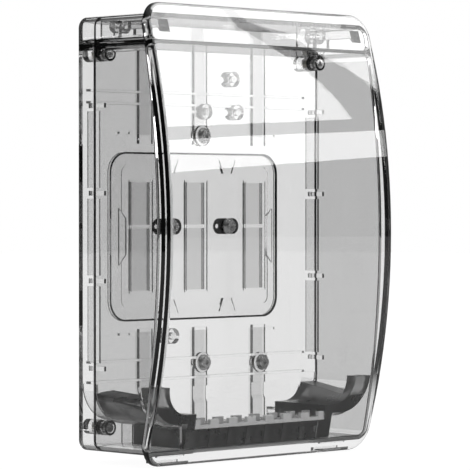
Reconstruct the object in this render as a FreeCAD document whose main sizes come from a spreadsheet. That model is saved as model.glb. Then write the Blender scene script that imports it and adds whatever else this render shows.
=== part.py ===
"""Clear waterproof wall enclosure with a curved lid that swings up.

The frame is in millimetres. The origin is the centre of the rear face, which
lies against the wall. X points right as seen from the front, Y points into the
wall and Z points up. A depth is a distance in front of the wall, so it runs
along minus Y.
"""
import FreeCAD, Part
import Sketcher
import math
import os

# Driving sizes: name, millimetres, what it is
SIZES = [
    ("case_width", 210.0, "outer width of shells and lid"),
    ("body_height", 285.0, "outer height of both shells"),
    ("body_corner", 7.5, "outer corner radius of both shells"),
    ("wall", 3.0, "wall of shells and lid"),
    ("rear_depth", 16.0, "depth of the rear shell, up to the seam"),
    ("rear_edge_radius", 1.2, "rounding of the rear shell's outer rear edge"),
    ("lid_overhang", 7.5, "reach of the lid above and below the shells"),
    ("lid_corner", 16.0, "corner radius of the lid, seen from the front"),
    ("lid_depth", 88.3, "depth of the lid's front at mid height"),
    ("lid_radius", 460.0, "radius of the lid's front, seen from the side"),
    ("pan_depth", 11.0, "depth of the lid from its rear edge to its front at mid height"),
    ("lid_end_thickness", 3.7, "thickness of the lid at its upper and lower ends"),
    ("lid_edge_radius", 3.0, "rounding of the lid's front edge"),
    ("hinge_room", 14.5, "height of the hinge room under the top wall"),
    ("roof_thickness", 2.5, "thickness of the sealed room's roof, under the hinge room"),
    ("gasket_width", 2.0, "width of the lid gasket"),
    ("gasket_thickness", 0.8, "thickness of the lid gasket"),
    ("lid_clearance", 0.3, "free space between lid and gasket"),
    ("seam_gasket_width", 1.2, "width and height of the gasket in the seam"),
    ("play", 0.1, "clearance between pieces that fit in each other"),
    ("hinge_drop", 6.5, "distance of the hinge axis below the top of the shells"),
    ("hinge_reach", 11.3, "distance of the hinge axis in front of the seam"),
    ("hinge_inset", 15.0, "distance of each hinge's middle from the side of the case"),
    ("barrel_radius", 5.0, "outer radius of the hinge barrel"),
    ("arm_width", 9.0, "width of a hinge arm"),
    ("arm_thickness", 5.0, "thickness of a hinge arm"),
    ("ear_thickness", 3.0, "thickness of a hinge ear"),
    ("hinge_gap", 0.4, "side gap between arm and ear"),
    ("pin_radius", 2.0, "radius of the hinge pin"),
    ("pin_clearance", 0.05, "radial running clearance on the hinge pin"),
    ("gusset", 5.5, "leg of the triangular gusset under a hinge arm"),
    ("tab_inset", 29.0, "distance of each pull tab's middle from the side of the case"),
    ("tab_width", 24.0, "width of a pull tab"),
    ("tab_length", 12.0, "length of a pull tab behind the lid"),
    ("tab_thickness", 1.8, "thickness of a pull tab"),
    ("catch_rise", 1.0, "height of the catch ridge on the bottom wall"),
    ("left_strip", 48.0, "distance of the left raised strip from the middle"),
    ("right_strip", 56.0, "distance of the right raised strip from the middle"),
    ("strip_width", 12.0, "width of a raised strip"),
    ("strip_rise", 2.6, "rise of a raised strip above the back wall"),
    ("upper_strip_bottom", 60.0, "lower end of the upper strips"),
    ("lower_strip_top", 64.0, "upper end of the lower strips, below the centre"),
    ("strip_gap", 1.5, "free space between the lower strips and the bottom wall"),
    ("dip_place", 104.0, "upper end of the dip in a lower strip, below the centre"),
    ("dip_length", 13.0, "length of that dip"),
    ("strip_dip", 1.6, "depth of that dip"),
    ("rib_thickness", 1.6, "thickness of a back wall rib"),
    ("rib_rise", 4.6, "rise of a back wall rib"),
    ("upper_rib", 94.4, "height of the upper rib"),
    ("upper_rib_pair", 86.5, "height of the second upper rib"),
    ("lower_rib", 97.8, "depth of the lower rib below the centre"),
    ("lower_rib_pair", 84.5, "depth of the second lower rib below the centre"),
    ("short_rib_height", 67.0, "distance of the short ribs from the centre"),
    ("short_rib_place", 71.5, "distance of the short ribs from the middle"),
    ("short_rib_length", 9.0, "length of a short rib"),
    ("tube_radius", 5.3, "outer radius of a tube boss"),
    ("tube_rise", 8.5, "rise of a tube boss above the back wall"),
    ("tube_bore", 2.5, "radius of the hole through a tube boss"),
    ("screw_boss_radius", 7.0, "outer radius of a boss on a raised strip"),
    ("screw_boss_rise", 4.8, "rise of such a boss above the back wall"),
    ("insert_radius", 2.6, "outer radius of a threaded insert"),
    ("insert_length", 5.0, "length of a threaded insert"),
    ("frame_insert_length", 3.2, "length of a threaded insert of the device frame"),
    ("tip_room", 1.5, "free depth behind a threaded insert"),
    ("screw_radius", 1.7, "shank radius of every screw"),
    ("screw_head_radius", 3.75, "head radius of a mounting or frame screw"),
    ("case_head_radius", 2.9, "head radius of a case screw"),
    ("screw_head_height", 2.8, "head height of every screw"),
    ("drive_radius", 1.5, "half width across flats of the screw's socket"),
    ("washer_radius", 5.4, "outer radius of a washer"),
    ("washer_thickness", 1.0, "thickness of a washer"),
    ("column_radius", 5.0, "outer radius of a case screw column"),
    ("column_rise", 8.8, "rise of a case screw column in front of the seam"),
    ("column_merge", 0.3, "overlap of a column with the wall that it stands against"),
    ("lower_column_height", 13.0, "height of the lower columns above the bottom wall"),
    ("seal_thickness", 1.0, "thickness of the seal under a case screw's head"),
    ("head_clearance", 0.6, "radial room round a case screw's head"),
    ("tongue_pitch", 57.3, "pitch of the snap tongues"),
    ("tongue_top", 84.0, "height of the top snap tongue"),
    ("tongue_width", 3.0, "width of a snap tongue"),
    ("tongue_thickness", 1.6, "thickness of a snap tongue"),
    ("tongue_reach", 6.0, "reach of a snap tongue behind the seam"),
    ("tongue_hook", 1.1, "height of the hook at the end of a snap tongue"),
    ("lip_thickness", 1.5, "thickness of the lips between the tongues"),
    ("lip_reach", 8.5, "reach of the lips behind the seam"),
    ("lip_gap", 3.5, "free space between a lip and a tongue"),
    ("frame_width", 153.0, "width of the device frame"),
    ("frame_height", 112.8, "height of the device frame"),
    ("frame_centre", -2.1, "height of the device frame's middle"),
    ("frame_shift", 3.7, "distance of the device frame's middle to the left of the case's"),
    ("frame_corner", 14.0, "corner radius of the device frame"),
    ("frame_rise", 2.6, "rise of the device frame's plate above the back wall"),
    ("frame_plate", 1.2, "thickness of the device frame's plate and skirt"),
    ("frame_border", 9.3, "width of the device frame's raised border"),
    ("border_rise", 1.0, "rise of that border above the plate"),
    ("window_width", 19.0, "width of a window in the device frame"),
    ("window_height", 74.0, "height of a window in the device frame"),
    ("window_wall", 1.0, "wall round a window, and thickness of its floor"),
    ("window_gap", 0.4, "free space between a window's floor and the back wall"),
    ("window_bar", 3.0, "height of the bar across a window"),
    ("bar_rise", 0.5, "rise of that bar above the window's floor"),
    ("clip_length", 38.0, "length of a side clip tab at its root"),
    ("clip_tip", 24.0, "length of a side clip tab at its tip"),
    ("clip_reach", 3.2, "reach of a side clip tab into the plate"),
    ("small_clip_length", 15.0, "length of a small clip tab at its root"),
    ("small_clip_tip", 8.0, "length of a small clip tab at its tip"),
    ("small_clip_reach", 4.5, "reach of a small clip tab"),
    ("frame_screw_place", 27.0, "distance of the frame screws from the frame's middle"),
    ("frame_boss_rise", 3.0, "rise of the frame's screw bosses above its plate"),
    ("frame_boss_radius", 5.0, "radius of the frame's screw bosses"),
    ("frame_screw_height", 4.5, "height of the frame screws above the centre"),
    ("saddle_height", 41.1, "height of the saddle's arm tops above the bottom wall"),
    ("saddle_outer", 24.6, "outer radius of a saddle arm"),
    ("saddle_inner", 18.6, "inner radius of a saddle arm"),
    ("saddle_arm", 14.0, "thickness of a saddle arm at its top"),
    ("saddle_gap", 0.2, "clearance of the saddle to the shells"),
    ("band_depth", 9.0, "depth of the tall front band of the saddle"),
    ("shoulder_rear", 6.0, "drop of a saddle arm at its rear end below its top"),
    ("shoulder_front", 12.5, "drop of a saddle arm just behind the front band"),
    ("support", 2.0, "thickness of the wall under the saddle's arms"),
    ("support_reach", 43.0, "reach of that wall in front of the seam"),
    ("block_step", 9.2, "width of the level stretch between a saddle arm and the block"),
    ("tray_rim", 7.0, "width of the rim at each end of the tray on the block"),
    ("tray_depth", 10.0, "depth of that tray below the saddle's floor"),
    ("cable_pitch", 17.0, "pitch of the cable entries"),
    ("cable_radius", 4.5, "radius of a cable entry"),
    ("cable_reach", 7.6, "distance from the block's front edge to a cable entry's round end"),
    ("plug_inset", 0.6, "distance of a plug's face behind the saddle's face"),
    ("plug_grip", 4.0, "height of the grip recess in a plug"),
    ("outlet_margin", 2.0, "room behind the cable entries in the outlet of the bottom wall"),
    ("outlet_rim", 8.0, "distance of the outlet's ends from the ends of the block"),
    ("comb_thickness", 2.6, "thickness of a comb"),
    ("comb_base", 2.4, "height of a comb's base bar"),
    ("comb_tooth", 3.4, "height of a comb's teeth above its base bar"),
    ("comb_gap", 9.0, "width of the gap between two teeth"),
    ("comb_pitch", 13.5, "distance between the two combs"),
    ("dam", 2.0, "thickness of the rear shell's dam under the saddle"),
]

TONGUES = 4
FAR = 20.0

doc = FreeCAD.newDocument("Enclosure")
sheet = doc.addObject("Spreadsheet::Sheet", "Sizes")
for row, (size_name, size_value, size_use) in enumerate(SIZES, start=1):
    sheet.set("A%d" % row, size_use)
    sheet.set("B%d" % row, str(size_value))
    sheet.setAlias("B%d" % row, size_name)
doc.recompute()


class Length:
    """A length together with the expression that ties it to the sheet."""

    def __init__(self, value, expression):
        self.value = value
        self.expression = expression

    def joined(self, other, sign, value):
        return Length(value, "(%s %s %s)" % (self.expression, sign, length(other).expression))

    def __add__(self, other):
        return self.joined(other, "+", self.value + length(other).value)

    def __sub__(self, other):
        return self.joined(other, "-", self.value - length(other).value)

    def __mul__(self, other):
        return self.joined(other, "*", self.value * length(other).value)

    def __truediv__(self, other):
        return self.joined(other, "/", self.value / length(other).value)

    def __radd__(self, other):
        return length(other) + self

    def __rsub__(self, other):
        return length(other) - self

    def __rmul__(self, other):
        return length(other) * self

    def __neg__(self):
        return Length(-self.value, "(0 - %s)" % self.expression)

    def root(self):
        return Length(math.sqrt(self.value), "sqrt(%s)" % self.expression)


def length(value):
    """A plain number becomes a Length too."""
    if isinstance(value, Length):
        return value
    return Length(float(value), repr(float(value)))


def size(name):
    """The named size from the sheet."""
    return Length(float(sheet.get(name)), "Sizes.%s" % name)


def bind(thing, place, value):
    """Tie one property of an object to an expression of the sheet."""
    thing.setExpression(place, length(value).expression)


class Profile:
    """A fully constrained sketch on one of a body's origin planes."""

    def __init__(self, body, plane, offset):
        self.sketch = body.newObject("Sketcher::SketchObject", "Profile")
        origin = [item for item in body.Origin.OriginFeatures if item.Role == plane][0]
        self.sketch.AttachmentSupport = [(origin, "")]
        self.sketch.MapMode = "FlatFace"
        bind(self.sketch, ".AttachmentOffset.Base.z", offset)

    def hold(self, kind, *place, value):
        """Add a constraint whose value comes from an expression."""
        index = self.sketch.addConstraint(Sketcher.Constraint(kind, *place, value.value))
        bind(self.sketch, "Constraints[%d]" % index, value)

    def circle(self, x, y, radius):
        x, y, radius = length(x), length(y), length(radius)
        centre = FreeCAD.Vector(x.value, y.value, 0)
        edge = self.sketch.addGeometry(Part.Circle(centre, FreeCAD.Vector(0, 0, 1), radius.value), False)
        self.hold("DistanceX", -1, 1, edge, 3, value=x)
        self.hold("DistanceY", -1, 1, edge, 3, value=y)
        self.hold("Radius", edge, value=radius)

    def outline(self, points):
        """A closed outline. A point is (x, y), or (x, y, radius, turn) where an
        arc leads to it: turn is 1 when the arc turns left on its way, else -1."""
        corners = [FreeCAD.Vector(length(point[0]).value, length(point[1]).value, 0) for point in points]
        edges = []
        for index, point in enumerate(points):
            start, end = corners[index - 1], corners[index]
            if len(point) == 2:
                edge = self.sketch.addGeometry(Part.LineSegment(start, end), False)
                edges.append((edge, 1, 2))
            else:
                edge = self.sketch.addGeometry(arc_between(start, end, point[2].value, point[3]), False)
                edges.append((edge, 1, 2) if point[3] > 0 else (edge, 2, 1))
        joints = []
        for index, (edge, first, last) in enumerate(edges):
            following, following_first, _ = edges[(index + 1) % len(edges)]
            joints.append(Sketcher.Constraint("Coincident", edge, last, following, following_first))
        self.sketch.addConstraint(joints)
        for (edge, first, last), point in zip(edges, points):
            self.hold("DistanceX", -1, 1, edge, last, value=length(point[0]))
            self.hold("DistanceY", -1, 1, edge, last, value=length(point[1]))
            if len(point) > 2:
                self.hold("Radius", edge, value=point[2])

    def rectangle(self, left, right, low, high):
        self.outline([(left, low), (right, low), (right, high), (left, high)])

    def rounded(self, left, right, low, high, radius):
        """A rectangle with four equal rounded corners."""
        self.outline([
            (right - radius, low), (right, low + radius, radius, 1),
            (right, high - radius), (right - radius, high, radius, 1),
            (left + radius, high), (left, high - radius, radius, 1),
            (left, low + radius), (left + radius, low, radius, 1),
        ])

    def beside_bow(self, depth, radius, side_depth, reach):
        """The area between a bowed line, seen from the side, and a straight one."""
        edge = bow(depth, radius, reach)
        self.outline([
            (-side_depth, -reach), (-edge, -reach),
            (-edge, reach, radius, -1), (-side_depth, reach),
        ])


def arc_between(start, end, radius, turn):
    """The short arc between two points, as a left (1) or right (-1) turn."""
    chord = end - start
    middle = (start + end) * 0.5
    across = FreeCAD.Vector(-chord.y, chord.x, 0).normalize()
    rise = math.sqrt(max(radius * radius - chord.Length ** 2 / 4.0, 0.0))
    centre = middle + across * (rise * turn)
    first, last = (start, end) if turn > 0 else (end, start)
    angles = [math.atan2(point.y - centre.y, point.x - centre.x) for point in (first, last)]
    circle = Part.Circle(centre, FreeCAD.Vector(0, 0, 1), radius)
    return Part.ArcOfCircle(circle, angles[0], angles[1])


def bow(depth, radius, height):
    """Depth, at a height, of a bowed line that has the given depth at mid height."""
    return depth - radius + (radius * radius - length(height) * height).root()


class Piece:
    """One sub-part: a PartDesign body that grows feature by feature."""

    def __init__(self, label):
        self.body = doc.addObject("PartDesign::Body", label)
        self.body.Label = label
        self.body.AllowCompound = True
        self.volume = 0.0

    def front(self, depth=0.0):
        """A sketch seen from the front, at a depth."""
        return Profile(self.body, "XZ_Plane", depth)

    def side(self, place=0.0):
        """A sketch seen from the side: its first axis points into the wall."""
        return Profile(self.body, "YZ_Plane", place)

    def top(self, height=0.0):
        """A sketch seen from above."""
        return Profile(self.body, "XY_Plane", height)

    def feature(self, kind, profile, reach, both, flip):
        item = self.body.newObject("PartDesign::%s" % kind, kind)
        item.Profile = profile.sketch
        item.SideType = "Symmetric" if both else "One side"
        item.Reversed = flip
        item.Refine = False
        bind(item, "Length", reach)
        doc.recompute()
        self.check(item, 1 if kind == "Pad" else -1)

    def check(self, item, sign):
        """Stop when a feature failed, or changed the volume the wrong way or not at all."""
        volume = self.body.Shape.Volume
        if not item.isValid() or (volume - self.volume) * sign <= 0:
            raise RuntimeError("%s: %s changed nothing" % (self.body.Label, item.Name))
        self.volume = volume

    def pad(self, profile, reach, both=False, flip=False):
        """Add material along the sketch's normal."""
        self.feature("Pad", profile, reach, both, flip)

    def pocket(self, profile, reach, both=False, flip=False):
        """Remove material against the sketch's normal."""
        self.feature("Pocket", profile, reach, both, flip)

    def fillet(self, radius, wanted):
        """Round every edge that passes the test."""
        base = self.body.Tip
        names = ["Edge%d" % number for number, edge in enumerate(base.Shape.Edges, start=1) if wanted(edge)]
        item = self.body.newObject("PartDesign::Fillet", "Fillet")
        item.Base = (base, names)
        bind(item, "Radius", radius)
        item.Refine = False
        doc.recompute()
        self.check(item, -1)

    def subtract(self, tool):
        """Cut another body out of this one."""
        item = self.body.newObject("PartDesign::Boolean", "Hollow")
        item.Type = "Cut"
        item.setObjects([tool.body])
        item.Refine = False
        doc.recompute()
        self.check(item, -1)


# Sizes that several pieces share
half_width = size("case_width") / 2
half_height = size("body_height") / 2
wall = size("wall")
inner_width = half_width - wall
inner_bottom = wall - half_height
hinge_top = half_height - wall
hinge_floor = hinge_top - size("hinge_room")
roof_height = hinge_floor - size("roof_thickness")
seam = size("rear_depth")
lid_half_height = half_height + size("lid_overhang")
rim_depth = size("lid_depth") - size("pan_depth")
front_fall = size("lid_depth") - bow(size("lid_depth"), size("lid_radius"), lid_half_height)
rim_fall = front_fall - size("pan_depth") + size("lid_end_thickness")
rim_radius = (lid_half_height * lid_half_height + rim_fall * rim_fall) / (rim_fall * 2)
gasket_front = rim_depth - size("lid_clearance")
body_rim = gasket_front - size("gasket_thickness")
bow_reach = lid_half_height + 1
hinge_depth = seam + size("hinge_reach")
hinge_height = half_height - size("hinge_drop")
hinge_place = half_width - size("hinge_inset")
tab_place = half_width - size("tab_inset")
clear_depth = size("lid_depth") + FAR
play = size("play")
strip_top = wall + size("strip_rise")
saddle_side = inner_width - size("saddle_gap")
saddle_centre = saddle_side - size("saddle_outer")
saddle_top = inner_bottom + size("saddle_height")
saddle_floor = saddle_top - size("saddle_inner")
saddle_bottom = inner_bottom + size("saddle_gap")
tray_floor = saddle_floor - size("tray_depth")
block_place = saddle_centre - size("block_step")
tray_place = block_place - size("tray_rim")
block_front = bow(body_rim, rim_radius, tray_floor)
cable_depth = block_front - size("cable_reach")
cable_count = int((tray_place * 2 / size("cable_pitch")).value)
boss_top = wall + size("screw_boss_rise")
frame_top = wall + size("frame_rise")
column_top = seam + size("column_rise")
head_seat = column_top - size("seal_thickness") - size("screw_head_height") - 0.2
screw_hole = size("screw_radius") + size("play")
column_offset = size("column_radius") - size("column_merge")
column_places = [
    ((inner_width - column_offset) * sign, height)
    for height in (roof_height - column_offset, inner_bottom + size("lower_column_height"))
    for sign in (-1, 1)
]
frame_middle = -size("frame_shift")
frame_boss_top = frame_top + size("frame_boss_rise")
frame_screw_places = [
    (frame_middle + size("frame_screw_place") * sign, size("frame_screw_height")) for sign in (-1, 1)
]
strips = [-size("left_strip"), length(0), size("right_strip")]
mounting_places = [(strips[1], 66.0), (strips[1], -88.0), (strips[2], -90.0)]
tube_places = [(26.0, 105.0), (30.0, 82.5), (0.0, 82.4), (-31.0, -69.0)]
cables = [size("cable_pitch") * (number - (cable_count - 1) / 2) for number in range(cable_count)]
tongues = [size("tongue_top") - size("tongue_pitch") * number for number in range(TONGUES)]


def case_outline(profile):
    """The outer outline of both shells."""
    profile.rounded(-half_width, half_width, -half_height, half_height, size("body_corner"))


def room_outline(profile, grow=0.0):
    """The sealed room's outline, or one that lies further out."""
    radius = size("body_corner") - wall + grow
    profile.rounded(-inner_width - grow, inner_width + grow, inner_bottom - grow,
                    roof_height + grow, radius)


def hinge_outline(profile):
    """The outline of the hinge room between the roof and the top wall."""
    profile.rounded(-inner_width, inner_width, hinge_floor, hinge_top, size("body_corner") - wall)


def cut_front(piece, depth, radius):
    """Cut a piece off along a bowed front line."""
    profile = piece.side()
    profile.beside_bow(depth, radius, clear_depth, bow_reach)
    piece.pocket(profile, size("case_width") + FAR, both=True)


def circles(profile, places, radius):
    """Equal circles at several places."""
    for x, z in places:
        profile.circle(x, z, radius)
    return profile


def cut_rear(piece, depth, radius):
    """Cut a piece off along a bowed rear line."""
    profile = piece.side()
    profile.beside_bow(depth, radius, FAR, bow_reach)
    piece.pocket(profile, size("case_width") + FAR, both=True)


def block(profile, place, width, low, high):
    """A rectangle given by its middle and its width."""
    profile.rectangle(place - length(width) / 2, place + length(width) / 2, low, high)
    return profile


def make_rear_shell():
    """The tray against the wall, with all that is moulded on it."""
    piece = Piece("rear_shell")
    profile = piece.front()
    case_outline(profile)
    piece.pad(profile, seam)
    piece.fillet(size("rear_edge_radius"), lambda edge: edge.BoundBox.YMin > -0.001)
    for outline in (room_outline, hinge_outline):
        profile = piece.front(seam)
        outline(profile)
        piece.pocket(profile, seam - wall)
    add_strips(piece)
    add_ribs(piece)
    add_bosses(piece)
    add_dam(piece)
    profile = piece.front(seam - size("tongue_reach") + 2.2)
    for sign in (-1, 1):
        for height in tongues:
            place = (inner_width + size("tongue_hook") / 2 - 0.4) * sign
            half = size("tongue_width") / 2 + play * 2
            block(profile, place, size("tongue_hook") + play * 2 + 0.8, height - half, height + half)
    piece.pocket(profile, 2.6)
    profile = piece.front(seam)
    groove = (wall - size("seam_gasket_width")) / 2
    room_outline(profile, groove)
    room_outline(profile, groove + size("seam_gasket_width"))
    piece.pocket(profile, size("seam_gasket_width"))
    return piece


def add_strips(piece):
    """Raised strips, with a dip near the end of the lower ones."""
    width = size("strip_width")
    spans = [
        (size("upper_strip_bottom"), roof_height + 1),
        (inner_bottom + size("strip_gap"), -size("lower_strip_top")),
    ]
    profile = piece.front(wall)
    for strip in strips:
        for low, high in spans:
            block(profile, strip, width, low, high)
    piece.pad(profile, size("strip_rise"))
    dip_end = -size("dip_place") - size("dip_length")
    floor = strip_top - size("strip_dip")
    slope = size("dip_length") / 3
    profile = piece.side()
    profile.outline([
        (-strip_top - 1, dip_end), (-floor, dip_end + slope),
        (-floor, -size("dip_place")), (-strip_top - 1, -size("dip_place")),
    ])
    piece.pocket(profile, (size("right_strip") + width) * 2, both=True)


def add_ribs(piece):
    """Thin ribs across the back wall, over the strips."""
    half = size("rib_thickness") / 2
    end = inner_width - 3
    profile = piece.front(wall)
    for name, sign in (("upper_rib", 1), ("upper_rib_pair", 1), ("lower_rib", -1), ("lower_rib_pair", -1)):
        height = size(name) * sign
        profile.rectangle(-end, end, height - half, height + half)
    piece.pad(profile, size("rib_rise"))
    profile = piece.front(wall)
    place = size("short_rib_place") - size("short_rib_length") / 2
    for sign in (-1, 1):
        for side in (-1, 1):
            height = size("short_rib_height") * side
            block(profile, place * sign, size("short_rib_length"), height - half, height + half)
    piece.pad(profile, size("rib_rise") / 2)


def add_bosses(piece):
    """Tubes, screw bosses and columns, then their holes."""
    tube_top = wall + size("tube_rise")
    frame_back = frame_top - size("frame_plate")
    piece.pad(circles(piece.front(wall), tube_places, size("tube_radius")), size("tube_rise"))
    piece.pad(circles(piece.front(), mounting_places, size("screw_boss_radius")), boss_top)
    piece.pad(circles(piece.front(wall), frame_screw_places, size("tube_radius")), frame_back - wall)
    piece.pad(circles(piece.front(wall), column_places, size("column_radius")), seam - wall)
    piece.pocket(circles(piece.front(tube_top), tube_places, size("tube_bore")), tube_top + 1)
    insert_hole = size("insert_radius") + play / 2
    insert = size("insert_length")
    for places, top, reach in ((mounting_places, boss_top, insert), (column_places, seam, insert),
                               (frame_screw_places, frame_back, size("frame_insert_length"))):
        piece.pocket(circles(piece.front(top), places, insert_hole), reach)
    for places, top in ((mounting_places, boss_top), (column_places, seam)):
        piece.pocket(circles(piece.front(top - insert), places, screw_hole), size("tip_room"))


def add_dam(piece):
    """A wall on each side that the saddle closes against."""
    outer = size("saddle_outer") + size("saddle_gap") * 3
    inner = outer - size("dam")
    side = block_place
    profile = piece.front(wall)
    for sign in (-1, 1):
        centre = saddle_centre * sign
        profile.outline([
            (centre + outer * sign, saddle_top),
            (centre, saddle_top - outer, outer, -sign),
            (side * sign, saddle_top - outer),
            (side * sign, inner_bottom - 0.5),
            ((side - size("dam")) * sign, inner_bottom - 0.5),
            ((side - size("dam")) * sign, saddle_top - inner),
            (centre, saddle_top - inner),
            (centre + inner * sign, saddle_top, inner, sign),
        ])
    piece.pad(profile, seam - wall)


def make_body_shell():
    """The four walls in front of the seam, with roof, hinge ears and columns."""
    piece = Piece("body_shell")
    profile = piece.front(seam)
    case_outline(profile)
    piece.pad(profile, rim_depth - seam)
    cut_front(piece, body_rim, rim_radius)
    for outline in (room_outline, hinge_outline):
        profile = piece.front(rim_depth)
        outline(profile)
        piece.pocket(profile, rim_depth - seam + 1)
    add_hinge_ears(piece)
    add_tongues(piece)
    add_supports(piece)
    piece.pad(circles(piece.front(seam), column_places, size("column_radius")), size("column_rise"))
    top = piece.front(column_top)
    piece.pocket(circles(top, column_places, size("case_head_radius") + size("head_clearance")),
                 column_top - head_seat)
    piece.pocket(circles(piece.front(head_seat), column_places, screw_hole), head_seat - seam + 1)
    profile = piece.top(wall / 2 - half_height)
    outlet = block_place - size("outlet_rim")
    outlet_rear = cable_depth - size("cable_radius") - size("outlet_margin")
    profile.rectangle(-outlet, outlet, -clear_depth, -outlet_rear)
    piece.pocket(profile, wall + 2, both=True)
    profile = piece.front(bow(body_rim, rim_radius, half_height) - 6)
    for sign in (-1, 1):
        block(profile, tab_place * sign, size("tab_width"),
              -half_height - size("catch_rise"), 0.5 - half_height)
    piece.pad(profile, 2)
    return piece


def add_supports(piece):
    """A thin wall under each saddle arm and beside the saddle's block."""
    inner = size("saddle_outer") + size("saddle_gap")
    outer = inner + size("support")
    near = block_place + size("saddle_gap")
    profile = piece.front(seam)
    for sign in (-1, 1):
        centre = saddle_centre * sign
        profile.outline([
            (centre + outer * sign, saddle_top),
            (centre, saddle_top - outer, outer, -sign),
            ((near + size("support")) * sign, saddle_top - outer),
            ((near + size("support")) * sign, inner_bottom - 0.5),
            (near * sign, inner_bottom - 0.5),
            (near * sign, saddle_top - inner),
            (centre, saddle_top - inner),
            (centre + inner * sign, saddle_top, inner, sign),
        ])
    piece.pad(profile, size("support_reach"))


def add_hinge_ears(piece):
    """Two ears per hinge, the notch for its arm and the bore for its pin."""
    gap = size("arm_width") / 2 + size("hinge_gap")
    thickness = size("ear_thickness")
    front = hinge_depth + size("barrel_radius") + 1
    for sign in (-1, 1):
        hinge = hinge_place * sign
        for place in (hinge - gap - thickness, hinge + gap):
            profile = piece.side(place)
            profile.rectangle(-front, -seam, hinge_floor - 0.5, hinge_top + 0.5)
            piece.pad(profile, thickness)
    notch_end = hinge_depth - size("barrel_radius") - 0.6
    profile = piece.front(rim_depth)
    for sign in (-1, 1):
        block(profile, hinge_place * sign, gap * 2, hinge_top - 0.5, half_height + 1)
    piece.pocket(profile, rim_depth - notch_end)
    for sign in (-1, 1):
        profile = piece.side(hinge_place * sign)
        profile.circle(-hinge_depth, hinge_height, size("pin_radius") + size("pin_clearance"))
        piece.pocket(profile, (gap + thickness) * 2 + 1, both=True)


def add_tongues(piece):
    """Snap tongues that reach into the rear shell and hook into its side walls."""
    inside = inner_width - play - size("tongue_thickness")
    rear = seam - size("tongue_reach")
    spans = [
        (rear, inside, inner_width - play, size("tongue_reach") + 8),
        (seam, inside, inner_width + 0.5, length(8)),
        (rear, inner_width - play - 0.2, inner_width + size("tongue_hook"), length(1.8)),
    ]
    for start, near, far, reach in spans:
        profile = piece.front(start)
        for sign in (-1, 1):
            for height in tongues:
                block(profile, (near + far) / 2 * sign, far - near,
                      height - size("tongue_width") / 2, height + size("tongue_width") / 2)
        piece.pad(profile, reach)
    add_lips(piece)


def add_lips(piece):
    """Thin lips between the tongues, which overlap the seam on the inside."""
    inside = inner_width - play - size("lip_thickness")
    for start, far, reach in ((seam - size("lip_reach"), inner_width - play, size("lip_reach") + wall),
                              (seam, inner_width + 0.5, wall)):
        profile = piece.front(start)
        for sign in (-1, 1):
            for upper, lower in zip(tongues, tongues[1:]):
                block(profile, (inside + far) / 2 * sign, far - inside,
                      lower + size("lip_gap"), upper - size("lip_gap"))
        piece.pad(profile, reach)


def make_gaskets():
    """The seal in the seam and the seal under the lid."""
    width = size("seam_gasket_width")
    piece = Piece("seam_gasket")
    profile = piece.front(seam - width)
    room_outline(profile, (wall - width) / 2 + play / 2)
    room_outline(profile, (wall + width) / 2 - play / 2)
    piece.pad(profile, width)
    seal = Piece("lid_gasket")
    inset = (wall - size("gasket_width")) / 2
    profile = seal.front(FAR * 2)
    room_outline(profile, inset)
    room_outline(profile, inset + size("gasket_width"))
    seal.pad(profile, clear_depth - FAR * 2)
    cut_rear(seal, body_rim, rim_radius)
    cut_front(seal, gasket_front, rim_radius)
    return [piece, seal]


def make_front_lid():
    """The curved lid: a bowed pan with hinge arms and pull tabs."""
    piece = Piece("front_lid")
    profile = piece.front(FAR * 2)
    profile.rounded(-half_width, half_width, -lid_half_height, lid_half_height, size("lid_corner"))
    piece.pad(profile, clear_depth - FAR * 2)
    cut_front(piece, size("lid_depth"), size("lid_radius"))
    piece.fillet(size("lid_edge_radius"), on_lid_front)
    hollow = Piece("lid_hollow")
    profile = hollow.front(FAR * 2)
    room_outline(profile)
    hinge_outline(profile)
    hollow.pad(profile, clear_depth - FAR * 2)
    cut_front(hollow, size("lid_depth") - wall, size("lid_radius") - wall)
    piece.subtract(hollow)
    cut_rear(piece, rim_depth, rim_radius)
    add_hinge_arms(piece)
    add_pull_tabs(piece)
    return piece


def on_lid_front(edge):
    """True for an edge that lies on the lid's bowed front."""
    points = [edge.valueAt(edge.FirstParameter + (edge.LastParameter - edge.FirstParameter) * part)
              for part in (0.1, 0.5, 0.9)]
    depths = [bow(size("lid_depth"), size("lid_radius"), point.z).value for point in points]
    return all(abs(-point.y - depth) < 0.001 for point, depth in zip(points, depths))


def add_hinge_arms(piece):
    """Arms that reach back over the roof to the hinge barrels."""
    axis = (-hinge_depth, hinge_height)
    upper = axis[1] + size("arm_thickness") / 2
    lower = axis[1] - size("arm_thickness") / 2
    gusset = size("gusset")
    middle = size("lid_depth") - wall / 2
    middle_radius = size("lid_radius") - wall / 2
    root_low = bow(middle, middle_radius, lower - gusset)
    root_high = bow(middle, middle_radius, upper)
    width = size("arm_width")
    for sign in (-1, 1):
        start = hinge_place * sign - width / 2
        profile = piece.side(start)
        profile.outline([
            (axis[0], lower), (-(root_low - gusset), lower), (-root_low, lower - gusset),
            (-root_high, upper), (axis[0], upper),
        ][::-1])
        piece.pad(profile, width)
        piece.pad(circles(piece.side(start), [axis], size("barrel_radius")), width)
        bore = circles(piece.side(start + width / 2), [axis], size("pin_radius") + size("pin_clearance"))
        piece.pocket(bore, width + 1, both=True)


def add_pull_tabs(piece):
    """Pull tabs behind the lid's lower edge, each with a nose behind the catch."""
    start = bow(rim_depth, rim_radius, lid_half_height) - size("tab_length")
    low = 1.2 - lid_half_height
    high = low + size("tab_thickness")
    for top, reach in ((high, size("tab_length") + 2), (high + 1.3, length(2.5))):
        profile = piece.front(start)
        for sign in (-1, 1):
            block(profile, tab_place * sign, size("tab_width"), low, top)
        piece.pad(profile, reach)


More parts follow.
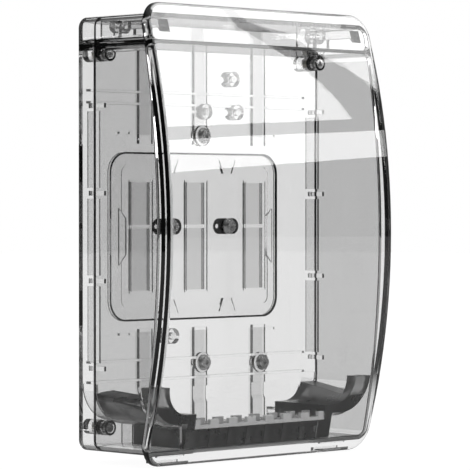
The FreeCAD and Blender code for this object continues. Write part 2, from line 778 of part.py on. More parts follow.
def make_hinge_pins():
    piece = Piece("hinge_pins")
    reach = size("arm_width") + (size("hinge_gap") + size("ear_thickness")) * 2
    for sign in (-1, 1):
        profile = piece.side(hinge_place * sign - reach / 2)
        profile.circle(-hinge_depth, hinge_height, size("pin_radius"))
        piece.pad(profile, reach)
    return piece


def make_device_frame():
    """A flat tray turned to the wall, with a raised border and three sunk windows."""
    piece = Piece("device_frame")
    plate = size("frame_plate")
    back = frame_top - plate
    border = size("frame_border")
    frame_outline(piece, wall, (0,), frame_top - wall)
    profile = piece.front(wall)
    rounded_frame(profile, plate)
    piece.pocket(profile, back - wall, flip=True)
    window_back = wall + size("window_gap")
    profile = piece.front(window_back)
    windows(profile, size("window_wall"))
    piece.pad(profile, back - window_back + plate / 2)
    frame_outline(piece, frame_top, (0, border), size("border_rise"))
    profile = piece.front(frame_top)
    add_clip_tabs(profile)
    piece.pad(profile, size("border_rise") + 1.2)
    floor = window_back + size("window_wall")
    top = frame_boss_top + 1
    profile = piece.front(top)
    windows(profile, 0)
    piece.pocket(profile, top - floor)
    piece.pad(circles(piece.front(back), frame_screw_places, size("frame_boss_radius")),
              frame_boss_top - back)
    profile = piece.front(floor - 0.2)
    for strip in strips:
        block(profile, strip + frame_middle, size("window_width") + 1,
              size("frame_screw_height") - size("window_bar") / 2,
              size("frame_screw_height") + size("window_bar") / 2)
    piece.pad(profile, size("bar_rise") + 0.2)
    piece.pocket(circles(piece.front(top), frame_screw_places, screw_hole), top - wall)
    return piece


def rounded_frame(profile, inset):
    """The device frame's outline, or one that lies further in."""
    width = size("frame_width") / 2 - inset
    height = size("frame_height") / 2 - inset
    radius = size("frame_corner") - inset
    middle = size("frame_centre")
    profile.rounded(frame_middle - width, frame_middle + width, middle - height, middle + height, radius)


def frame_outline(piece, depth, insets, reach):
    """A pad between one or two outlines of the device frame."""
    profile = piece.front(depth)
    for inset in insets:
        rounded_frame(profile, inset)
    piece.pad(profile, reach)


def windows(profile, grow):
    """The outlines of the three windows, or ones that lie further out."""
    middle = size("frame_centre")
    half = size("window_height") / 2 + grow
    for strip in strips:
        block(profile, strip + frame_middle, size("window_width") + length(grow) * 2,
              middle - half, middle + half)


def add_clip_tabs(profile):
    """Tapered clip tabs: one on each side of the frame, two above and two below."""
    middle = size("frame_centre")
    side = size("frame_width") / 2 - size("frame_border")
    reach = size("clip_reach")
    root, tip = size("clip_length") / 2, size("clip_tip") / 2
    for sign in (-1, 1):
        near = frame_middle + (side - reach) * sign
        far = frame_middle + (side + reach) * sign
        profile.outline([(far, middle - root), (near, middle - tip), (near, middle + tip), (far, middle + root)])
    edge = size("frame_height") / 2 - size("frame_border")
    reach = size("small_clip_reach")
    root, tip = size("small_clip_length") / 2, size("small_clip_tip") / 2
    for x, _ in frame_screw_places:
        for sign in (-1, 1):
            profile.outline([
                (x - root, middle + (edge + reach) * sign), (x - tip, middle + (edge - reach) * sign),
                (x + tip, middle + (edge - reach) * sign), (x + root, middle + (edge + reach) * sign),
            ])


def make_screws(label, places, seat, reach, head):
    """Socket head screws whose heads sit at one depth."""
    piece = Piece(label)
    top = seat + size("screw_head_height")
    piece.pad(circles(piece.front(seat - reach), places, size("screw_radius")), length(reach) + 0.5)
    piece.pad(circles(piece.front(seat), places, head), size("screw_head_height"))
    profile = piece.front(top)
    flat = size("drive_radius")
    point = flat * 2 / length(3).root()
    for x, z in places:
        profile.outline([
            (x + point, length(z)), (x + point / 2, z + flat), (x - point / 2, z + flat),
            (x - point, length(z)), (x - point / 2, z - flat), (x + point / 2, z - flat),
        ])
    piece.pocket(profile, size("screw_head_height") * 0.55)
    return piece


def make_rings(label, places, depth, thickness, outer, inner):
    """Flat rings or tubes: washers, seals and inserts."""
    piece = Piece(label)
    profile = circles(piece.front(depth), places, outer)
    piece.pad(circles(profile, places, inner), thickness)
    return piece


def make_fasteners():
    frame_back = frame_top - size("frame_plate")
    washer = size("washer_thickness")
    insert = size("insert_length")
    frame_insert = size("frame_insert_length")
    head = size("screw_head_radius")
    pieces = [
        make_screws("mounting_screws", mounting_places, boss_top + washer, insert + washer + 0.6, head),
        make_screws("frame_screws", frame_screw_places, frame_boss_top + washer,
                    frame_boss_top + washer - frame_back + frame_insert - 0.4, head),
        make_screws("case_screws", column_places, head_seat + size("seal_thickness"),
                    head_seat + size("seal_thickness") - seam + insert + 1, size("case_head_radius")),
    ]
    for label, places, top in (("mounting_washers", mounting_places, boss_top),
                               ("frame_washers", frame_screw_places, frame_boss_top)):
        pieces.append(make_rings(label, places, top, washer, size("washer_radius"), screw_hole))
    pieces.append(make_rings("case_seals", column_places, head_seat, size("seal_thickness"),
                             size("case_head_radius"), screw_hole))
    for label, places, top, reach in (("mounting_inserts", mounting_places, boss_top, insert),
                                      ("frame_inserts", frame_screw_places, frame_back, frame_insert),
                                      ("case_inserts", column_places, seam, insert)):
        pieces.append(make_rings(label, places, top - reach, reach, size("insert_radius"), screw_hole))
    return pieces


def make_cable_saddle():
    """The soft seal: a block with cable entries and an arm up each side wall."""
    piece = Piece("cable_saddle")
    outer, inner = size("saddle_outer"), size("saddle_inner")
    arm_inside = saddle_side - size("saddle_arm")
    inner_centre = arm_inside - inner
    side = block_place
    start = seam + size("saddle_gap")
    profile = piece.front(start)
    profile.outline([
        (saddle_side, saddle_top), (saddle_centre, saddle_top - outer, outer, -1),
        (side, saddle_top - outer), (side, saddle_bottom),
        (-side, saddle_bottom), (-side, saddle_top - outer),
        (-saddle_centre, saddle_top - outer), (-saddle_side, saddle_top, outer, -1),
        (-arm_inside, saddle_top), (-inner_centre, saddle_floor, inner, 1),
        (inner_centre, saddle_floor), (arm_inside, saddle_top, inner, 1),
    ])
    piece.pad(profile, clear_depth - start)
    cut_front(piece, body_rim, rim_radius)
    profile = piece.front(start)
    profile.rectangle(-tray_place, tray_place, tray_floor, saddle_floor + 1)
    piece.pocket(profile, clear_depth, flip=True)
    band_rear = bow(body_rim, rim_radius, saddle_top) - size("band_depth")
    profile = piece.side()
    profile.outline([
        (-start + 1, saddle_top - size("shoulder_rear")),
        (-start + 1, saddle_top + 1), (-band_rear, saddle_top + 1),
        (-band_rear, saddle_top - size("shoulder_front")),
    ])
    piece.pocket(profile, half_width * 2, both=True)
    profile = piece.top(tray_floor)
    for cable in cables:
        entry_outline(profile, cable, size("cable_radius"))
    piece.pocket(profile, size("tray_depth") + outer)
    return piece


def entry_outline(profile, place, radius):
    """A cable entry from above: a slot from the front with a round end."""
    end = -cable_depth
    profile.outline([
        (place - radius, end), (place, end + radius, radius, -1),
        (place + radius, end, radius, -1), (place + radius, -clear_depth),
        (place - radius, -clear_depth),
    ])


def make_cable_plugs():
    """One soft plug in each cable entry, with a grip recess in its face."""
    piece = Piece("cable_plugs")
    profile = piece.top(saddle_bottom)
    for cable in cables:
        entry_outline(profile, cable, size("cable_radius") - play)
    piece.pad(profile, tray_floor - saddle_bottom)
    face = body_rim - size("plug_inset")
    cut_front(piece, face, rim_radius)
    middle = (tray_floor + saddle_bottom) / 2
    profile = piece.front(clear_depth)
    for cable in cables:
        block(profile, cable, size("cable_radius") * 2 - 2.6,
              middle - size("plug_grip") / 2, middle + size("plug_grip") / 2)
    piece.pocket(profile, clear_depth - bow(face, rim_radius, middle) + 1.6)
    return piece


def make_comb(label, depth):
    """A toothed strip that keeps the cables apart."""
    piece = Piece(label)
    end = tray_place - play
    base = tray_floor + size("comb_base")
    top = base + size("comb_tooth")
    half = size("comb_gap") / 2
    points = [(-end, tray_floor), (end, tray_floor), (end, top)]
    for cable in cables[::-1]:
        points += [(cable + half, top), (cable + half, base), (cable - half, base), (cable - half, top)]
    points.append((-end, top))
    profile = piece.front(depth - size("comb_thickness"))
    profile.outline(points)
    piece.pad(profile, size("comb_thickness"))
    return piece


def make_enclosure():
    """Every sub-part, in the order in which they are listed."""
    pieces = [make_rear_shell(), make_body_shell(), make_front_lid(), make_hinge_pins()]
    pieces += make_gaskets()
    pieces.append(make_device_frame())
    pieces += make_fasteners()
    pieces += [make_cable_saddle(), make_cable_plugs()]
    pieces.append(make_comb("front_comb", block_front - play))
    pieces.append(make_comb("rear_comb", block_front - play - size("comb_pitch")))
    return pieces


def check_document(pieces):
    """Stop before anything is written when an object failed."""
    for item in doc.Objects:
        if "Invalid" in item.State or "Error" in item.State:
            raise RuntimeError("%s is %s" % (item.Label, item.State))
    for piece in pieces:
        shape = piece.body.Shape
        if shape.isNull() or not shape.isValid():
            raise RuntimeError("%s has no valid shape" % piece.body.Label)


enclosure = make_enclosure()
for sub_part in enclosure:
    # Only the last feature joins the faces that the steps before it split
    sub_part.body.Tip.Refine = True
doc.recompute()
check_document(enclosure)
os.makedirs("parts", exist_ok=True)
for sub_part in enclosure:
    shape = sub_part.body.Shape
    shape.exportStep("parts/%s.step" % sub_part.body.Label)
    print("%-18s solids %d  volume %.0f" % (sub_part.body.Label, len(shape.Solids), shape.Volume))
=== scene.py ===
"""Waterproof enclosure: materials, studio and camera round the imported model."""

import math

import bpy
from mathutils import Matrix, Vector


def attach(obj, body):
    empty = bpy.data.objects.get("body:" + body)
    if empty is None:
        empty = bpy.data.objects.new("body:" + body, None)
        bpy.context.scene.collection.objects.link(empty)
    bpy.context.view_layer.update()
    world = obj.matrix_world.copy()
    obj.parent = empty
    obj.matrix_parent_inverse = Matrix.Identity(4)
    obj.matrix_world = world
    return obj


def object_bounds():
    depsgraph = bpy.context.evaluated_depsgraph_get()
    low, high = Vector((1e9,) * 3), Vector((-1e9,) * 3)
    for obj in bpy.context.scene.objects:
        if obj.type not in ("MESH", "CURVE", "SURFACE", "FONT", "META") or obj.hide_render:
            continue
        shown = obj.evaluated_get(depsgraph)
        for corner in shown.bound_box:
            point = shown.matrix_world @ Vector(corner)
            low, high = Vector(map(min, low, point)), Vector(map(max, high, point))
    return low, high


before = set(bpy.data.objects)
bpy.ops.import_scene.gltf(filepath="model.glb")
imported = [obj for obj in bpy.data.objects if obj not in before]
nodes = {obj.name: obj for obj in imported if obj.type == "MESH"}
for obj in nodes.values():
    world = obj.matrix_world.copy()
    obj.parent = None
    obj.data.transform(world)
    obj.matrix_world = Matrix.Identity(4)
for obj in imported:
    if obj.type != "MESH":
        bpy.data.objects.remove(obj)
cad_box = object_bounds()

# Lengths are in metres, where no other unit is named: x goes to the right, y back to the wall
# and z up.

# The camera looks from the front left, almost level, at the middle of the box. Its lens and
# sensor are in millimetres.
CAMERA_PLACE = Vector((-1.3077, -1.3741, 0.019))
VIEW_ALONG = Vector((0.70, 0.714, -0.0108)).normalized()
CAMERA_LENS = 212.5
CAMERA_REACH = 50.0
SENSOR = 36.0
FRAME_PIXELS = 470

# Outlines of the softboxes' mirror images on the lid, in pixels of the photograph. The first two
# are parted by a slanting shadow, and the third is a band below them.
SOFTBOXES = [
    [(130, 128), (130, 4), (214, 4), (241, 31), (292, 60), (306, 70), (321, 83), (352, 119)],
    [(218, 0), (247, 21), (286, 35), (328, 59), (368, 82), (379, 92), (430, 130), (430, 0)],
    [
        (130, 142), (240, 136), (389, 130), (430, 128),
        (430, 152), (389, 156), (240, 167), (130, 176),
    ],
]
SOFTBOX_REACH = 1.6
# What a softbox gives off for mirrored light and for light that nothing mirrored.
SOFTBOX_MIRRORED = 4.0
SOFTBOX_PLAIN = 1.0

# What mirrored light sees of the studio, level and overhead, and the upward parts of a direction
# between which the one goes over to the other.
STUDIO_DIM = 0.05
STUDIO_OVERHEAD = 0.6
OVERHEAD = (0.55, 0.95)
# Light that only passed through clear pieces sees white, and this where it goes steeply up or
# down, with the upward or downward parts of a direction between which that changes.
STEEP_GLOW = 0.15
STEEPNESS = (0.30, 0.75)
# Cosines to the photograph's line of sight between which the white backdrop comes in.
BACKDROP = (0.80, 0.96)

# The floor lies just under the box. It gives off more for light that nothing mirrored.
FLOOR_GAP = 0.0005
FLOOR_LEVEL = cad_box[0].z - FLOOR_GAP
FLOOR_HALF = 6.0
FLOOR_GREY = 0.10
FLOOR_ROUGHNESS = 0.9
FLOOR_GLOW = 0.95
FLOOR_DIM = 0.25

# The lid's bow and its axis, which lies behind the lid at mid height.
BOW_RADIUS = 0.46
BOW_AXIS = cad_box[0].y + BOW_RADIUS

# The greyer ground of the frame's windows: its middles across and half its width, its middle up
# and half its height, and the dark borders at its sides, which are painted shade for the shadow
# gaps there.
WINDOWS = (-0.0517, -0.0037, 0.0523)
WINDOW_HALF = 0.009
WINDOW_LEVEL = -0.0021
WINDOW_REACH = 0.0364
WINDOW_TINT = 0.76
BORDER_HALF = 0.0007
BORDER_SHADE = 0.08
# The line across the windows, along the frame's bar, that is left clear of the grey.
BAR_LEVEL = 0.0045
BAR_HALF = 0.0012
# The greyer strips of the back wall: their middles and half width. They start this far from the
# middle of the box, up and down.
STRIPS = (-0.048, 0.0, 0.056)
STRIP_HALF = 0.0062
STRIP_START = 0.066
STRIP_TINT = 0.72
ETCHED_ROUGHNESS = 0.25

# Painted shade on the side walls: the part that is painted greyer than the room over the roof.
# It takes in their inner face and ends a little under the sealed room's roof.
WALL_FACE = 0.1015
WALL_TOP = 0.1185
WALL_SHADE = 0.62

# Painted shade: dark stripes on the lid's side walls, for the darkness of clear plastic seen
# edge-on: how far out each starts, its middle and half its width under the bow, and the heights
# over which they fade.
LID_STRIPES = [(0.1037, 0.0015, 0.0013), (0.1040, 0.0060, 0.0019)]
LID_STRIPE_FADE = (0.095, 0.125)
LID_STRIPE_SHADE = 0.0

# Oblong pads round the frame's screw bosses: places, half sizes, bore, the eyes beside the bore,
# and the rounding of the edges, which adds to each outline.
PAD_PLACES = (-0.0307, 0.0233)
PAD_LEVEL = BAR_LEVEL
PAD_HALVES = (0.0118, 0.0053)
PAD_BORE = 0.00516
PAD_EYE_PLACE = 0.0086
PAD_EYE = (0.0018, 0.0016)
PAD_HALF_RISE = 0.0004
PAD_ROUNDING = 0.0001
PAD_ROUNDING_STEPS = 2
# The front of the frame's plate, on which the pads lie, in front of the wall.
FRAME_FACE = 0.0056
# Steps of a round end, and the short straight side that keeps a round outline's points apart.
ARC_STEPS = 16
ROUND_GAP = 0.00001

# Clear plastic: dull patches in it, by shares of its roughness, and flow waves.
PLASTIC_IOR = 1.52
WEAR_SCALE = 60.0
WEAR_DETAIL = 4.0
WEAR_SPAN = (0.5, 1.5)
WAVE_SCALE = 45.0
WAVE_DETAIL = 1.0
# Rubber: its grain.
RUBBER_IOR = 1.45
GRAIN_SCALE = 900.0
GRAIN_DETAIL = 3.0
GRAIN_SPAN = (0.8, 1.2)
GRAIN_HEIGHT = 0.00008
# Metal: marks of the machine.
MARK_SCALE = 1500.0
MARK_DETAIL = 3.0
MARK_SPAN = (0.6, 1.5)
MARK_HEIGHT = 0.00003

LIGHT_BOUNCES = 32
GLOSSY_BOUNCES = 20


def new_material(name):
    """A material of one Principled shader, its node tree and that shader."""
    made = bpy.data.materials.new(name)
    made.use_nodes = True
    return made, made.node_tree, made.node_tree.nodes["Principled BSDF"]


def noise(tree, scale, detail):
    """Noise in the object's own space, with features of about one over the scale."""
    place = tree.nodes.new("ShaderNodeTexCoord")
    grain = tree.nodes.new("ShaderNodeTexNoise")
    grain.inputs["Scale"].default_value = scale
    grain.inputs["Detail"].default_value = detail
    tree.links.new(place.outputs["Object"], grain.inputs["Vector"])
    return grain.outputs["Fac"]


def between(tree, source, low, high):
    """The source, from 0 to 1, brought to between low and high."""
    span = tree.nodes.new("ShaderNodeMapRange")
    span.inputs["To Min"].default_value = low
    span.inputs["To Max"].default_value = high
    tree.links.new(source, span.inputs["Value"])
    return span.outputs["Result"]


def blend(tree, source, start, end, low=0.0, high=1.0):
    """Goes smoothly from low, where the source is at start, to high, where it is at end."""
    span = tree.nodes.new("ShaderNodeMapRange")
    span.interpolation_type = "SMOOTHSTEP"
    span.inputs["From Min"].default_value = start
    span.inputs["From Max"].default_value = end
    span.inputs["To Min"].default_value = low
    span.inputs["To Max"].default_value = high
    tree.links.new(source, span.inputs["Value"])
    return span.outputs["Result"]


def calculate(tree, operation, *values):
    """A Math node over sockets or plain numbers."""
    step = tree.nodes.new("ShaderNodeMath")
    step.operation = operation
    for socket, value in zip(step.inputs, values):
        if isinstance(value, bpy.types.NodeSocket):
            tree.links.new(value, socket)
        else:
            socket.default_value = value
    return step.outputs["Value"]


def set_roughness(tree, shader, source, rough, span):
    """Roughness that the source varies between two shares of it."""
    uneven = between(tree, source, rough * span[0], rough * span[1])
    tree.links.new(uneven, shader.inputs["Roughness"])


def set_relief(tree, shader, source, height):
    """Small relief of that height, driven by the source."""
    relief = tree.nodes.new("ShaderNodeBump")
    relief.inputs["Distance"].default_value = height
    tree.links.new(source, relief.inputs["Height"])
    tree.links.new(relief.outputs["Normal"], shader.inputs["Normal"])


def clear_plastic(name, tint, edge_shade, loss, rough=0.02, waves=0.00002, slants=(0.40, 0.85)):
    """Moulded clear plastic: faint flow waves, a few dull patches, and loss along its length.

    Its tint goes over to a darker one where it is seen along its surface, as at rounded edges:
    painted shade in place of the dark outlines that clear plastic shows there.
    """
    made, tree, shader = new_material(name)
    # Painted shade: the colour darkens where the surface is seen at a slant.
    slant = tree.nodes.new("ShaderNodeLayerWeight")
    shade = blend(tree, slant.outputs["Facing"], *slants, tint, edge_shade)
    tree.links.new(shade, shader.inputs["Base Color"])
    shader.inputs["IOR"].default_value = PLASTIC_IOR
    shader.inputs["Transmission Weight"].default_value = 1.0
    set_roughness(tree, shader, noise(tree, WEAR_SCALE, WEAR_DETAIL), rough, WEAR_SPAN)
    set_relief(tree, shader, noise(tree, WAVE_SCALE, WAVE_DETAIL), waves)
    inside = tree.nodes.new("ShaderNodeVolumeAbsorption")
    inside.inputs["Color"].default_value = (0.0, 0.0, 0.0, 1.0)
    inside.inputs["Density"].default_value = loss
    tree.links.new(inside.outputs["Volume"], tree.nodes["Material Output"].inputs["Volume"])
    return made


def rubber(name, grey, rough, see_through):
    """Moulded soft rubber with a fine grain."""
    made, tree, shader = new_material(name)
    shader.inputs["Base Color"].default_value = (grey, grey, grey, 1.0)
    shader.inputs["IOR"].default_value = RUBBER_IOR
    shader.inputs["Transmission Weight"].default_value = see_through
    grain = noise(tree, GRAIN_SCALE, GRAIN_DETAIL)
    set_roughness(tree, shader, grain, rough, GRAIN_SPAN)
    set_relief(tree, shader, grain, GRAIN_HEIGHT)
    return made


def metal(name, colour, rough):
    """Machined metal with fine marks."""
    made, tree, shader = new_material(name)
    shader.inputs["Base Color"].default_value = (*colour, 1.0)
    shader.inputs["Metallic"].default_value = 1.0
    marks = noise(tree, MARK_SCALE, MARK_DETAIL)
    set_roughness(tree, shader, marks, rough, MARK_SPAN)
    set_relief(tree, shader, marks, MARK_HEIGHT)
    return made


def where(tree):
    """The place on the piece, across, back and up."""
    place = tree.nodes.new("ShaderNodeTexCoord")
    part = tree.nodes.new("ShaderNodeSeparateXYZ")
    tree.links.new(place.outputs["Object"], part.inputs["Vector"])
    return part.outputs["X"], part.outputs["Y"], part.outputs["Z"]


def change_within(made, mask, changes):
    """Sets a material's linked numbers to others where the mask is 1."""
    tree = made.node_tree
    shader = tree.nodes["Principled BSDF"]
    for name, value in changes.items():
        before = shader.inputs[name].links[0].from_socket
        pick = tree.nodes.new("ShaderNodeMix")
        pick.inputs["B"].default_value = value
        tree.links.new(mask, pick.inputs["Factor"])
        tree.links.new(before, pick.inputs["A"])
        tree.links.new(pick.outputs["Result"], shader.inputs[name])


def dull_back_wall_shade_borders(made):
    """The strips and the ground of the frame's windows are painted greyer and made rougher.

    The grey is left off a line across the windows along the frame's bar, and the windows'
    borders
    are painted dark: painted shade for the shadow gaps there.
    """
    tree = made.node_tree
    across, _, up = where(tree)
    level = calculate(tree, "COMPARE", up, WINDOW_LEVEL, WINDOW_REACH)
    on_bar = calculate(tree, "COMPARE", up, BAR_LEVEL, BAR_HALF)
    in_window = calculate(tree, "MULTIPLY", level, calculate(tree, "SUBTRACT", 1.0, on_bar))
    height = calculate(tree, "ABSOLUTE", up)
    beyond = calculate(tree, "GREATER_THAN", height, STRIP_START)
    for middles, start, half, heights, tint in (
        (WINDOWS, 0.0, WINDOW_HALF, in_window, WINDOW_TINT),
        # Painted shade: the windows' borders are painted dark for the shadow gaps at their
        # sides.
        (WINDOWS, WINDOW_HALF - BORDER_HALF, BORDER_HALF, in_window, BORDER_SHADE),
        (STRIPS, 0.0, STRIP_HALF, beyond, STRIP_TINT),
    ):
        mask = 0.0
        for middle in middles:
            off = calculate(tree, "ABSOLUTE", calculate(tree, "SUBTRACT", across, middle))
            mask = calculate(tree, "ADD", calculate(tree, "COMPARE", off, start, half), mask)
        mask = calculate(tree, "MULTIPLY", mask, heights)
        change_within(made, mask, {"Base Color": tint, "Roughness": ETCHED_ROUGHNESS})


def shade_side_walls(made):
    """The side walls of the sealed room are painted greyer than the room over its roof, as
    painted shade.
    """
    tree = made.node_tree
    across, _, up = where(tree)
    side = calculate(tree, "GREATER_THAN", calculate(tree, "ABSOLUTE", across), WALL_FACE)
    under = calculate(tree, "LESS_THAN", up, WALL_TOP)
    # Painted shade: the side walls under the roof are painted greyer.
    change_within(made, calculate(tree, "MULTIPLY", side, under), {"Base Color": WALL_SHADE})


def shade_lid_sides(made):
    """The lid's side walls are painted black between rim and bow as painted shade, in two
    stripes with a light one.
    """
    tree = made.node_tree
    across, back, up = where(tree)
    width = calculate(tree, "ABSOLUTE", across)
    height = calculate(tree, "ABSOLUTE", up)
    from_axis = calculate(tree, "ABSOLUTE", calculate(tree, "SUBTRACT", back, BOW_AXIS))
    squares = calculate(tree, "ADD", calculate(tree, "POWER", from_axis, 2.0),
                        calculate(tree, "POWER", height, 2.0))
    depth = calculate(tree, "SUBTRACT", BOW_RADIUS, calculate(tree, "SQRT", squares))
    stripes = 0.0
    for start, middle, half in LID_STRIPES:
        near = calculate(tree, "COMPARE", depth, middle, half)
        stripe = calculate(tree, "MULTIPLY", near, calculate(tree, "GREATER_THAN", width, start))
        stripes = calculate(tree, "ADD", stripe, stripes)
    ends = blend(tree, height, *LID_STRIPE_FADE, 1.0, 0.0)
    mask = calculate(tree, "MULTIPLY", stripes, ends)
    # Painted shade: black stripes where the clear lid is seen edge-on.
    change_within(made, mask, {"Base Color": LID_STRIPE_SHADE})


rear_plastic = clear_plastic("rear_plastic", tint=0.94, edge_shade=0.6, loss=5.0)
dull_back_wall_shade_borders(rear_plastic)
body_plastic = clear_plastic("body_plastic", tint=0.97, edge_shade=0.85, loss=5.0, slants=(0.6, 0.95))
shade_side_walls(body_plastic)
lid_plastic = clear_plastic("lid_plastic", tint=1.0, edge_shade=0.35, loss=28.0, rough=0.01,
                            waves=0.00001, slants=(0.55, 0.95))
shade_lid_sides(lid_plastic)
frame_plastic = clear_plastic("frame_plastic", tint=1.0, edge_shade=0.5, loss=16.0)
smoked = clear_plastic("smoked", tint=0.74, edge_shade=0.4, loss=55.0, rough=0.30, waves=0.00003)
comb_plastic = rubber("comb_plastic", grey=1.0, rough=0.12, see_through=0.15)
pad_rubber = rubber("pad_rubber", grey=0.06, rough=0.45, see_through=0.0)
silicone = rubber("silicone", grey=0.80, rough=0.35, see_through=0.7)
steel = metal("steel", colour=(0.90, 0.90, 0.90), rough=0.26)
brass = metal("brass", colour=(0.75, 0.72, 0.65), rough=0.38)

FINISHES = {
    rear_plastic: ["rear_shell"],
    body_plastic: ["body_shell"],
    lid_plastic: ["front_lid"],
    frame_plastic: ["device_frame", "hinge_pins"],
    comb_plastic: ["front_comb", "rear_comb"],
    silicone: ["seam_gasket", "lid_gasket", "case_seals"],
    smoked: ["cable_saddle", "cable_plugs"],
    steel: [
        "mounting_screws", "frame_screws", "case_screws", "mounting_washers", "frame_washers",
    ],
    brass: ["mounting_inserts", "frame_inserts", "case_inserts"],
}
for finish, names in FINISHES.items():
    for name in names:
        for place in nodes[name].material_slots:
            place.material = finish


def oblong(curve, middle, half_length, half_height):
    """Adds a closed outline with round ends to a flat curve."""
    points = []
    for side in (1, -1):
        end = middle[0] + side * (half_length - half_height)
        for step in range(ARC_STEPS + 1):
            angle = side * math.pi / 2 - math.pi * step / ARC_STEPS
            points.append((end + half_height * math.cos(angle),
                           middle[1] + half_height * math.sin(angle)))
    line = curve.splines.new("POLY")
    line.points.add(len(points) - 1)
    for point, (x, y) in zip(line.points, points):
        point.co = (x, y, 0.0, 1.0)
    line.use_cyclic_u = True


def make_frame_pads():
    """Dark oblong pads on the frame, one round each screw boss, with two openings beside it."""
    curve = bpy.data.curves.new("frame_pads", "CURVE")
    curve.dimensions = "2D"
    curve.fill_mode = "BOTH"
    curve.extrude = PAD_HALF_RISE - PAD_ROUNDING
    curve.bevel_depth = PAD_ROUNDING
    curve.bevel_resolution = PAD_ROUNDING_STEPS
    for across in PAD_PLACES:
        oblong(curve, (across, PAD_LEVEL), *PAD_HALVES)
        oblong(curve, (across, PAD_LEVEL), PAD_BORE, PAD_BORE - ROUND_GAP)
        for side in (-1, 1):
            oblong(curve, (across + side * PAD_EYE_PLACE, PAD_LEVEL), *PAD_EYE)
    shape = bpy.data.objects.new("frame_pads_outline", curve)
    data = bpy.data.meshes.new_from_object(shape)
    bpy.data.objects.remove(shape)
    data.transform(Matrix.Rotation(math.pi / 2, 4, "X"))
    data.transform(Matrix.Translation((0.0, -FRAME_FACE - PAD_HALF_RISE, 0.0)))
    data.materials.clear()
    data.materials.append(pad_rubber)
    pads = bpy.data.objects.new("frame_pads", data)
    bpy.context.scene.collection.objects.link(pads)
    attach(pads, "case")


def make_camera():
    """The camera at the photograph's viewing angle."""
    data = bpy.data.cameras.new("camera")
    data.lens = CAMERA_LENS
    data.sensor_width = SENSOR
    data.clip_end = CAMERA_REACH
    camera = bpy.data.objects.new("camera", data)
    camera.location = CAMERA_PLACE
    camera.rotation_euler = VIEW_ALONG.to_track_quat("-Z", "Y").to_euler()
    bpy.context.scene.collection.objects.link(camera)
    bpy.context.scene.camera = camera


def unreflected(tree):
    """1 where light came straight or only through clear pieces, 0 where anything mirrored it."""
    ray = tree.nodes.new("ShaderNodeLightPath")
    return calculate(tree, "LESS_THAN", ray.outputs["Glossy Depth"], 0.5)


def make_floor():
    """A pale floor that gives off its own light, less of it for mirrored light."""
    data = bpy.data.meshes.new("floor")
    corners = [(x, y, FLOOR_LEVEL) for x, y in
               ((-FLOOR_HALF, -FLOOR_HALF), (FLOOR_HALF, -FLOOR_HALF),
                (FLOOR_HALF, FLOOR_HALF), (-FLOOR_HALF, FLOOR_HALF))]
    data.from_pydata(corners, [], [(0, 1, 2, 3)])
    floor = bpy.data.objects.new("floor", data)
    made, tree, shader = new_material("floor")
    shader.inputs["Base Color"].default_value = (FLOOR_GREY, FLOOR_GREY, FLOOR_GREY, 1.0)
    shader.inputs["Roughness"].default_value = FLOOR_ROUGHNESS
    shader.inputs["Specular IOR Level"].default_value = 0.0
    shader.inputs["Emission Color"].default_value = (1.0, 1.0, 1.0, 1.0)
    glow = between(tree, unreflected(tree), FLOOR_DIM, FLOOR_GLOW)
    tree.links.new(glow, shader.inputs["Emission Strength"])
    data.materials.append(made)
    bpy.context.scene.collection.objects.link(floor)


def mirrored(pixel):
    """Where the view through a pixel meets the lid's bow, and where it goes on from there."""
    side = VIEW_ALONG.cross(Vector((0.0, 0.0, 1.0))).normalized()
    up = side.cross(VIEW_ALONG)
    across = (pixel[0] - FRAME_PIXELS / 2) * SENSOR / CAMERA_LENS / FRAME_PIXELS
    down = (pixel[1] - FRAME_PIXELS / 2) * SENSOR / CAMERA_LENS / FRAME_PIXELS
    ray = (VIEW_ALONG + side * across - up * down).normalized()
    middle = Vector((0.0, BOW_AXIS, 0.0))
    offset = CAMERA_PLACE - middle
    offset.x = 0.0
    flat = Vector((0.0, ray.y, ray.z))
    half = flat.dot(offset) / flat.dot(flat)
    rest = (offset.dot(offset) - BOW_RADIUS ** 2) / flat.dot(flat)
    place = CAMERA_PLACE + ray * (-half - math.sqrt(half ** 2 - rest))
    outward = Vector((0.0, place.y - middle.y, place.z)).normalized()
    return place, ray.reflect(outward)


def make_softboxes():
    """Bright cards whose mirror images on the lid lie where the photograph shows them."""
    made = bpy.data.materials.new("softbox")
    made.use_nodes = True
    tree = made.node_tree
    tree.nodes.clear()
    glow = tree.nodes.new("ShaderNodeEmission")
    strength = between(tree, unreflected(tree), SOFTBOX_MIRRORED, SOFTBOX_PLAIN)
    tree.links.new(strength, glow.inputs["Strength"])
    out = tree.nodes.new("ShaderNodeOutputMaterial")
    tree.links.new(glow.outputs["Emission"], out.inputs["Surface"])
    facing = VIEW_ALONG.reflect(Vector((0.0, 1.0, 0.0)))
    for number, outline in enumerate(SOFTBOXES, 1):
        corners = []
        for pixel in outline:
            place, ray = mirrored(pixel)
            reach = (SOFTBOX_REACH - place.dot(facing)) / ray.dot(facing)
            corners.append(place + ray * reach)
        data = bpy.data.meshes.new(f"softbox_{number}")
        data.from_pydata(corners, [], [tuple(range(len(corners)))])
        data.materials.append(made)
        card = bpy.data.objects.new(f"softbox_{number}", data)
        card.visible_camera = False
        card.visible_shadow = False
        bpy.context.scene.collection.objects.link(card)


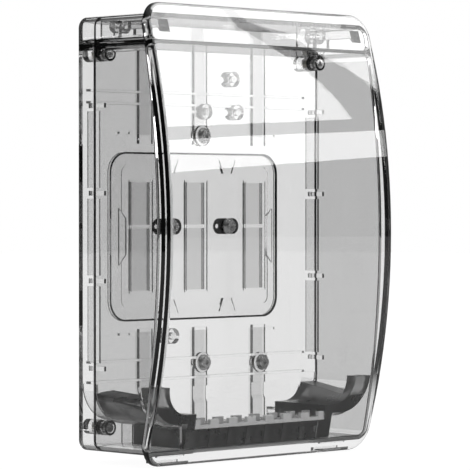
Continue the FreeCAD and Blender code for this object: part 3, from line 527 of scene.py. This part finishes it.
def make_world():
    """The studio round the box.

    The camera and dull surfaces see white. So does light that only passed through clear pieces,
    unless it goes steeply up or down, and so does all light along the photograph's line of
    sight. Mirrored light sees a dim studio that is lighter overhead.
    """
    world = bpy.data.worlds.new("studio")
    world.use_nodes = True
    world.cycles.sampling_method = "NONE"
    tree = world.node_tree
    tree.nodes.clear()
    place = tree.nodes.new("ShaderNodeTexCoord")
    part = tree.nodes.new("ShaderNodeSeparateXYZ")
    tree.links.new(place.outputs["Generated"], part.inputs["Vector"])
    dim = blend(tree, part.outputs["Z"], *OVERHEAD, STUDIO_DIM, STUDIO_OVERHEAD)
    steepness = calculate(tree, "ABSOLUTE", part.outputs["Z"])
    clear = blend(tree, steepness, *STEEPNESS, 1.0, STEEP_GLOW)
    shown = tree.nodes.new("ShaderNodeMix")
    tree.links.new(unreflected(tree), shown.inputs["Factor"])
    tree.links.new(dim, shown.inputs["A"])
    tree.links.new(clear, shown.inputs["B"])
    along = tree.nodes.new("ShaderNodeVectorMath")
    along.operation = "DOT_PRODUCT"
    along.inputs[1].default_value = VIEW_ALONG
    tree.links.new(place.outputs["Generated"], along.inputs[0])
    backdrop = blend(tree, along.outputs["Value"], *BACKDROP)
    lit = calculate(tree, "MAXIMUM", backdrop, shown.outputs["Result"])
    ray = tree.nodes.new("ShaderNodeLightPath")
    dull = calculate(tree, "MINIMUM", ray.outputs["Diffuse Depth"], 1.0)
    plain = calculate(tree, "MAXIMUM", ray.outputs["Is Camera Ray"], dull)
    sky = tree.nodes.new("ShaderNodeBackground")
    tree.links.new(calculate(tree, "MAXIMUM", plain, lit), sky.inputs["Color"])
    out = tree.nodes.new("ShaderNodeOutputWorld")
    tree.links.new(sky.outputs["Background"], out.inputs["Surface"])
    bpy.context.scene.world = world


make_frame_pads()
make_camera()
make_floor()
make_softboxes()
make_world()
scene = bpy.context.scene
scene.view_settings.view_transform = "Standard"
scene.cycles.max_bounces = LIGHT_BOUNCES
scene.cycles.transmission_bounces = LIGHT_BOUNCES
scene.cycles.glossy_bounces = GLOSSY_BOUNCES
